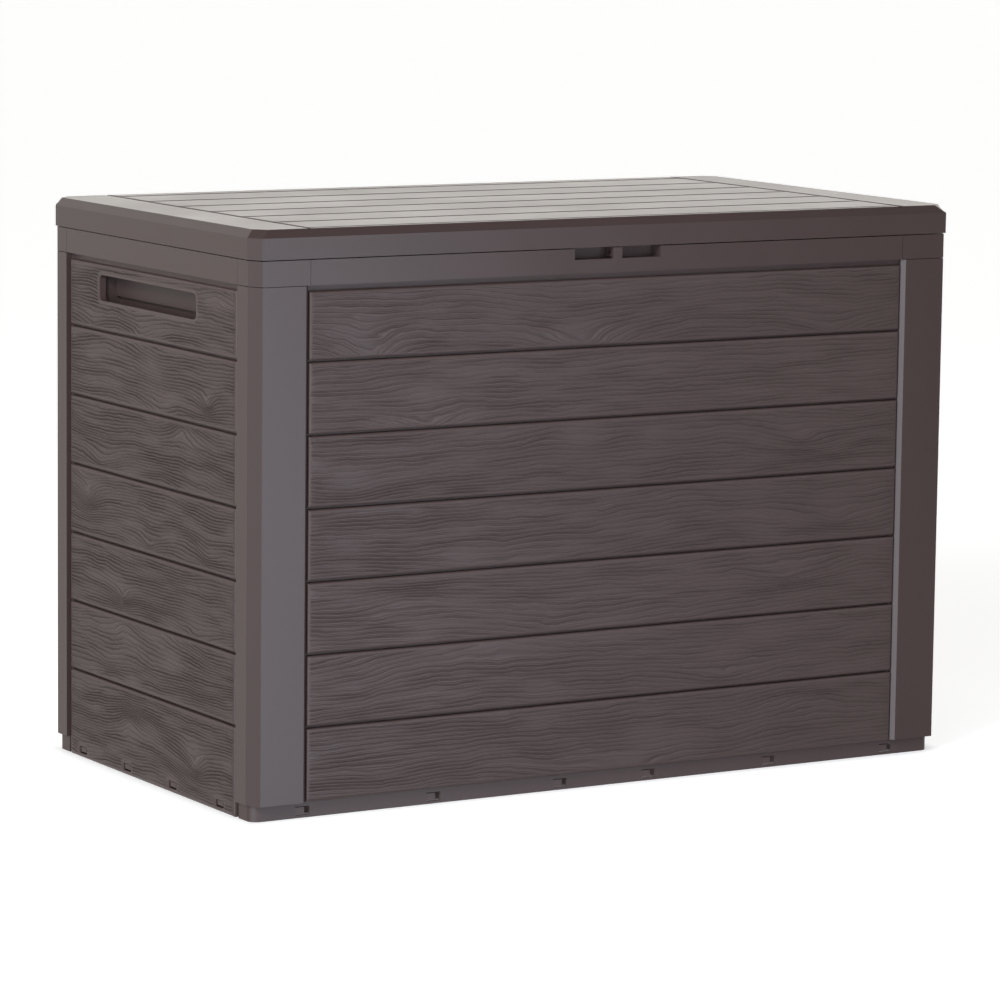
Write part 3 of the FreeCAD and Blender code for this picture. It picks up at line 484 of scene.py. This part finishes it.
def split_axes(tree, vector):
    """X, Y and Z of a vector."""
    item = add_node(tree, "ShaderNodeSeparateXYZ", Vector=vector)
    return item.outputs["X"], item.outputs["Y"], item.outputs["Z"]


def new_material(name):
    """A new material, its nodes and its shader."""
    material = bpy.data.materials.new(name)
    material.use_nodes = True
    return material, material.node_tree, material.node_tree.nodes["Principled BSDF"]


# ---------------------------------------------------------------- materials
def growth_lines(tree):
    """Narrow valleys once in each cycle of the phase, with fainter ones twice in each."""
    phase = attribute(tree, "phase")
    total = 0.0
    for rate, power, share in GROWTH_LINES:
        turn = arithmetic(tree, "MULTIPLY", phase, 2 * math.pi * rate)
        half = arithmetic(tree, "MULTIPLY", arithmetic(tree, "SINE", turn), 0.5)
        line = arithmetic(tree, "POWER", arithmetic(tree, "ADD", half, 0.5), power)
        total = arithmetic(tree, "ADD", total, arithmetic(tree, "MULTIPLY", line, share))
    return arithmetic(tree, "MULTIPLY", total, attribute(tree, "grain"))


def board_colour(tree, colour, lines, depth):
    """The colour darker in the growth lines, and in a slightly different tone on each board."""
    shade = map_range(tree, lines, (0, 1), 1 + LIGHTER_BETWEEN * depth, 1 - depth)
    board = map_range(tree, attribute(tree, "tone"), (-1, 1), *BOARD_TONES)
    return blend(tree, 1, colour, arithmetic(tree, "MULTIPLY", shade, board), "MULTIPLY")


def board_relief(tree, where, lines):
    """Normal of the growth lines' valleys, with fine fibres on top."""
    valleys = bump(tree, lines, *VALLEY_BUMP, invert=True)
    fibres = noise(tree, stretched(tree, where, FIBRE_SCALE), FIBRE_NOISE)
    return bump(tree, fibres, *FIBRE_BUMP, under=valleys)


def plank_relief(tree, where):
    """Normal of the lid's top, sloped down towards the seams between its planks."""
    x, y, z = split_axes(tree, where)
    shifted = arithmetic(tree, "ADD", y, PLANK_PITCH / 2 - PLANK_FIRST)
    cycle = arithmetic(tree, "FLOORED_MODULO", shifted, PLANK_PITCH)
    near_seam = arithmetic(tree, "ABSOLUTE", arithmetic(tree, "SUBTRACT", cycle, PLANK_PITCH / 2))
    past_end = arithmetic(tree, "SUBTRACT", arithmetic(tree, "ABSOLUTE", x), PLANK_END)
    beyond = arithmetic(tree, "MAXIMUM", near_seam, past_end)
    distance = arithmetic(tree, "MINIMUM", beyond, arithmetic(tree, "ABSOLUTE", past_end))
    distance = arithmetic(tree, "ADD", distance, arithmetic(tree, "LESS_THAN", z, DECK_LOW))
    return bump(tree, map_range(tree, distance, (0, PLANK_EDGE), 0, 1), *PLANK_BUMP)


def resin(name, colour, roughness, texture=0.08, texture_scale=1400, streak=(1, 1, 1),
          grain_depth=0.0, planked=False):
    """Moulded resin: slow mottling and a fine spark-eroded texture, with darker grain on boards
    and sloped plank edges on the lid."""
    material, tree, shader = new_material(name)
    where = coordinates(tree)
    slow = noise(tree, stretched(tree, where, streak), SLOW_NOISE)
    dark = (*(c * (1 - MOTTLE) for c in colour), 1)
    light = (*(c * (1 + MOTTLE) for c in colour), 1)
    fine = noise(tree, where, FINE_NOISE)
    speckles = map_range(tree, fine, (0, 1), 1 - 2 * SPECKLE, 1 + 2 * SPECKLE)
    tint = blend(tree, 1, blend(tree, slow, dark, light), speckles, "MULTIPLY")
    relief = None
    if grain_depth:
        lines = growth_lines(tree)
        tint = board_colour(tree, tint, lines, grain_depth)
        relief = board_relief(tree, where, lines)
    elif planked:
        relief = plank_relief(tree, where)
    pits = noise(tree, where, {"Scale": texture_scale, "Detail": 2.0, "Roughness": 0.5})
    feed(tree, shader.inputs["Base Color"], tint)
    feed(tree, shader.inputs["Roughness"],
         map_range(tree, slow, (0, 1), roughness - ROUGHNESS_SPREAD, roughness + ROUGHNESS_SPREAD))
    feed(tree, shader.inputs["Normal"], bump(tree, pits, texture, TEXTURE_DEPTH, relief))
    feed(tree, shader.inputs["IOR"], RESIN_IOR)
    return material


def dress(item, material):
    """Gives an object one material and no other."""
    item.data.materials.clear()
    item.data.materials.append(material)


def soften(item, width, segments=3):
    """Rounds the arrises of a CAD node without touching its mesh; the width is in millimetres."""
    flat = item.modifiers.new("flat", "DECIMATE")
    flat.decimate_type = "DISSOLVE"
    flat.angle_limit = math.radians(FLAT_ANGLE)
    bevel = item.modifiers.new("arris", "BEVEL")
    bevel.width = width * MM
    bevel.segments = segments
    bevel.limit_method = "ANGLE"
    bevel.angle_limit = math.radians(ARRIS_ANGLE)
    bevel.use_clamp_overlap = True
    bevel.harden_normals = False
    item.data.polygons.foreach_set("use_smooth", np.ones(len(item.data.polygons), bool))
    normals = item.modifiers.new("normals", "WEIGHTED_NORMAL")
    normals.keep_sharp = True


grained = resin("grained_resin", BROWN, 0.46, grain_depth=0.5, texture=0.2, texture_scale=900)
satin = resin("smooth_resin", BROWN, 0.36, streak=(1, 1, 0.25))
lid_satin = resin("lid_resin", BROWN, 0.38, planked=True)
base_satin = resin("base_resin", BROWN, 0.5)
inner_satin = resin("inner_resin", BROWN, 0.5)
pin_gloss = resin("pin_resin", BLACK, 0.3)

PLAIN = {
    "base_tray": base_satin,
    "handle_cup_left": inner_satin, "handle_cup_right": inner_satin,
    "lid_rib_grid": inner_satin, "lock_tongue": inner_satin,
    "lid_shell": lid_satin,
}
for label, item in NODES.items():
    if label.startswith("hinge_pin"):
        dress(item, pin_gloss)
    elif label.endswith("_panel"):
        dress(item, grained)
    else:
        dress(item, PLAIN.get(label, satin))

# ---------------------------------------------------------------- panels
END_HOLES = [HANDLE] + TAB_WINDOWS
panels = [
    grained_panel("front_panel", "y", -1, LONG_WALL, LONG_STEPS, FRONT_FIGURE, 11),
    grained_panel("back_panel", "y", 1, LONG_WALL, LONG_STEPS, FRONT_FIGURE[::-1], 511),
    grained_panel("left_side_panel", "x", -1, END_WALL, END_STEPS, SIDE_FIGURE, 211, END_HOLES),
    grained_panel("right_side_panel", "x", 1, END_WALL, END_STEPS, SIDE_FIGURE, 311, END_HOLES),
]
for piece in panels:
    dress(piece, grained)

# ---------------------------------------------------------------- rounded arrises
for label in ("front_rail", "back_rail", "left_rail", "right_rail"):
    soften(NODES[label], 0.6)
soften(NODES["lid_shell"], 1.1)
for label in ("handle_cup_left", "handle_cup_right"):
    soften(NODES[label], 1.2)
for label in NODES:
    if label.startswith("corner_"):
        soften(NODES[label], 0.9)
soften(NODES["base_tray"], 0.5, 2)


# ---------------------------------------------------------------- studio
def lay_floor():
    """A wide pale floor that glows outside the box's footprint; the glow fades out round the box as
    a painted contact shadow. It isn't reflected in the box, and neither lights it nor blocks light."""
    reach = FLOOR_REACH
    mesh = bpy.data.meshes.new("floor")
    mesh.from_pydata([(-reach, -reach, 0), (reach, -reach, 0), (reach, reach, 0),
                      (-reach, reach, 0)], [], [(0, 1, 2, 3)])
    floor = bpy.data.objects.new("floor", mesh)
    bpy.context.scene.collection.objects.link(floor)
    material, tree, shader = new_material("pale_floor")
    x, y, _ = split_axes(tree, coordinates(tree))
    past_x = arithmetic(tree, "SUBTRACT", arithmetic(tree, "ABSOLUTE", x), SHADOW_HALF_X)
    past_y = arithmetic(tree, "SUBTRACT", arithmetic(tree, "ABSOLUTE", y), SHADOW_HALF_Y)
    outside = arithmetic(tree, "MAXIMUM", past_x, past_y)
    feed(tree, shader.inputs["Base Color"], FLOOR_GREY)
    feed(tree, shader.inputs["Roughness"], FLOOR_ROUGHNESS)
    feed(tree, shader.inputs["Emission Color"], (1, 1, 1, 1))
    # the glow falls to none round the box's footprint: a painted contact shadow on the floor
    feed(tree, shader.inputs["Emission Strength"],
         map_range(tree, outside, (-SHADOW_EDGE, SHADOW_EDGE), 0, GLOW))
    mesh.materials.append(material)
    floor.visible_glossy = False
    floor.visible_diffuse = False
    floor.visible_shadow = False


def light_sky():
    """Surroundings that are bright behind the box and at its left, and dim in front of and above
    it. The camera itself sees the tint alone."""
    world = bpy.data.worlds.new("studio")
    bpy.context.scene.world = world
    world.use_nodes = True
    tree = world.node_tree
    x, y, z = split_axes(tree, coordinates(tree, "Generated"))

    def follows(direction):
        """How closely the direction looked in follows a level one."""
        return arithmetic(tree, "ADD", arithmetic(tree, "MULTIPLY", x, direction[0]),
                          arithmetic(tree, "MULTIPLY", y, direction[1]))

    def eased(value, span, start, end):
        """A range with smooth ends."""
        return map_range(tree, value, span, start, end, "SMOOTHSTEP")

    back, left = follows(TO_THE_BACK), follows(TO_THE_LEFT)
    round_about = arithmetic(tree, "ADD", eased(back, SIDE_SPAN, SKY_FRONT, SKY_SIDE),
                             eased(back, BACK_SPAN, 0.0, SKY_BACK - SKY_SIDE))
    round_about = arithmetic(tree, "ADD", round_about, eased(left, LEFT_SPAN, 0.0, SKY_LEFT))
    lit = arithmetic(tree, "MULTIPLY", round_about, eased(z, TOP_SPAN, 1.0, SKY_TOP))
    seen = add_node(tree, "ShaderNodeLightPath").outputs["Is Camera Ray"]
    tint = blend(tree, eased(left, LEFT_SPAN, 0.0, 1.0), SKY_WARM, SKY_COOL)
    background = tree.nodes["Background"]
    feed(tree, background.inputs["Strength"], blend(tree, seen, lit, 1.0, data_type="FLOAT"))
    feed(tree, background.inputs["Color"], tint)


def softbox(name, place, aim, width, height, power, colour):
    """A rectangular soft light at a place, turned to an aim point."""
    data = bpy.data.lights.new(name, "AREA")
    data.shape = "RECTANGLE"
    data.size, data.size_y = width, height
    data.energy = power
    data.color = colour
    lamp = bpy.data.objects.new(name, data)
    bpy.context.scene.collection.objects.link(lamp)
    lamp.location = place
    lamp.visible_camera = False
    lamp.rotation_euler = (Vector(aim) - Vector(place)).to_track_quat("-Z", "Y").to_euler()


def camera_axes(yaw, pitch, roll):
    """Columns are the camera's right, forward and up in the CAD frame."""
    cy, sy = math.cos(yaw), math.sin(yaw)
    cp, sp = math.cos(pitch), math.sin(pitch)
    cr, sr = math.cos(roll), math.sin(roll)
    about_z = np.array([[cy, sy, 0], [-sy, cy, 0], [0, 0, 1]])
    about_x = np.array([[1, 0, 0], [0, cp, -sp], [0, sp, cp]])
    about_y = np.array([[cr, 0, sr], [0, 1, 0], [-sr, 0, cr]])
    return about_z @ about_x @ about_y


def place_camera():
    """The scene's camera, at its place and without any shift."""
    data = bpy.data.cameras.new("camera")
    data.sensor_width = SENSOR_MM
    data.lens = LENS_MM
    data.clip_end = FAR_CLIP
    camera = bpy.data.objects.new("camera", data)
    bpy.context.scene.collection.objects.link(camera)
    right, forward, up = camera_axes(YAW, PITCH_ANGLE, ROLL).T
    turn = Matrix(np.stack([right, up, -forward], axis=1).tolist()).to_4x4()
    camera.matrix_world = Matrix.Translation([c * MM for c in CAMERA_MM]) @ turn
    bpy.context.scene.camera = camera


lay_floor()
light_sky()
for settings in LIGHTS:
    softbox(*settings)
place_camera()
bpy.context.scene.view_settings.view_transform = "Standard"
